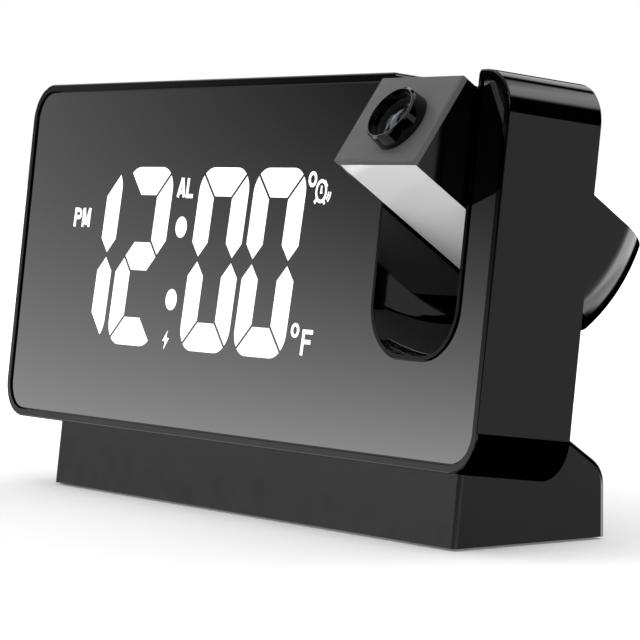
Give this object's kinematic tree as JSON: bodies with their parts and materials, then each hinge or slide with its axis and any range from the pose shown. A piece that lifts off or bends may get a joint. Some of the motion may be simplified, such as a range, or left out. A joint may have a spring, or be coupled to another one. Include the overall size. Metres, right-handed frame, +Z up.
{
  "type": "projection alarm clock",
  "caption": "Leaning desk alarm clock with a mirror-front digital display, a tilting time projector in an open-top slot, a rear cover with buttons and a wedge stand.",
  "frame": {"origin": "middle of the overall box, on the table under the rubber feet", "axes": "+X along the long side, to the right of someone facing the display; +Y from the display to the rear cover; +Z up"},
  "size_m": [0.187, 0.062, 0.094],
  "materials": {
    "black_gloss": "glossy black moulded plastic",
    "black_satin": "fine-grained black plastic",
    "mirror_acrylic": "half-silvered mirror",
    "mirror_plate": "bright mirror plate",
    "digit_white": "lit white",
    "milky_film": "diffusing film",
    "white_moulding": "matt white",
    "board_green": "solder mask",
    "chip_black": "moulded epoxy",
    "lamp_yellow": "phosphor",
    "bright_tin": "plated",
    "bare_aluminium": "drawn can",
    "brass_part": "turned",
    "steel": "zinc plated",
    "lens_clear": "coated lens",
    "rubber_black": "moulded rubber"
  },
  "bodies": {
    "clock_body": {"housing": "black_gloss", "mirror_panel": "mirror_acrylic", "lit_segments": "digit_white", "colon_lights": "digit_white", "display_diffuser": "milky_film", "display_reflector": "white_moulding", "display_board": "board_green", "display_lamps": "lamp_yellow", "main_board": "board_green", "board_posts": "brass_part", "controller_chip": "chip_black", "clock_crystal": "bright_tin", "capacitors": "bare_aluminium", "board_connector": "white_moulding", "button_switches": "chip_black", "snooze_switches": "chip_black", "temperature_sensor": "chip_black", "coin_cell": "bright_tin", "battery_contacts": "brass_part", "back_cover": "black_satin", "back_cover_screws": "steel", "usb_socket": "bright_tin", "usb_tongue": "white_moulding", "power_inlet": "chip_black", "power_inlet_pin": "brass_part", "buzzer": "chip_black", "stand": "black_gloss", "stand_screws": "steel", "stand_underside": "black_satin", "rubber_feet": "rubber_black", "underside_screws": "steel", "ballast_plate": "steel"},
    "projector": {"projector_case": "black_gloss", "projector_under_plate": "mirror_plate", "lens_face_plate": "black_gloss", "lens_tube": "black_satin", "front_lens": "lens_clear", "rear_lens": "lens_clear", "digit_mask": "chip_black", "projector_led_board": "board_green", "projector_led": "lamp_yellow", "light_shroud": "black_satin", "condenser_lens": "lens_clear", "trunnion_left": "black_satin", "trunnion_right": "black_satin", "trunnion_clips": "steel", "friction_washers": "steel"},
    "focus_ring": {"focus_ring": "black_gloss"},
    "snooze_bar": {"snooze_bar": "black_satin"},
    "battery_door": {"battery_door": "black_satin"},
    "button_set": {"button_set": "black_satin"},
    "button_down": {"button_down": "black_satin"},
    "button_up": {"button_up": "black_satin"},
    "button_alarm": {"button_alarm": "black_satin"},
    "button_projector": {"button_projector": "black_satin"}
  },
  "joints": [
    {"name": "projector_tilt", "type": "hinge", "parent": "clock_body", "child": "projector", "pos_m": [0.0688, -0.0042, 0.07387], "axis": [1, 0, 0], "range_deg": [-151.2, 28.8]},
    {"name": "focus_turn", "type": "hinge", "parent": "projector", "child": "focus_ring", "pos_m": [0.0714, -0.02467, 0.08363], "axis": [0, -0.81, 0.5864], "range_deg": [-60, 60]},
    {"name": "snooze_press", "type": "slide", "parent": "clock_body", "child": "snooze_bar", "axis": [0, -0.1236, -0.9923], "range_m": [0, 0.0008], "stiffness_N_per_m": 250, "springref_m": -0.0004},
    {"name": "battery_door_out", "type": "slide", "parent": "clock_body", "child": "battery_door", "axis": [0, 0.9923, -0.1236], "range_m": [0, 0.015]},
    {"name": "button_set_press", "type": "slide", "parent": "clock_body", "child": "button_set", "axis": [0, -0.9923, 0.1236], "range_m": [0, 0.0008], "stiffness_N_per_m": 250, "springref_m": -0.0004},
    {"name": "button_down_press", "type": "slide", "parent": "clock_body", "child": "button_down", "axis": [0, -0.9923, 0.1236], "range_m": [0, 0.0008], "stiffness_N_per_m": 250, "springref_m": -0.0004},
    {"name": "button_up_press", "type": "slide", "parent": "clock_body", "child": "button_up", "axis": [0, -0.9923, 0.1236], "range_m": [0, 0.0008], "stiffness_N_per_m": 250, "springref_m": -0.0004},
    {"name": "button_alarm_press", "type": "slide", "parent": "clock_body", "child": "button_alarm", "axis": [0, -0.9923, 0.1236], "range_m": [0, 0.0008], "stiffness_N_per_m": 250, "springref_m": -0.0004},
    {"name": "button_projector_press", "type": "slide", "parent": "clock_body", "child": "button_projector", "axis": [0, -0.9923, 0.1236], "range_m": [0, 0.0008], "stiffness_N_per_m": 250, "springref_m": -0.0004}
  ]
}
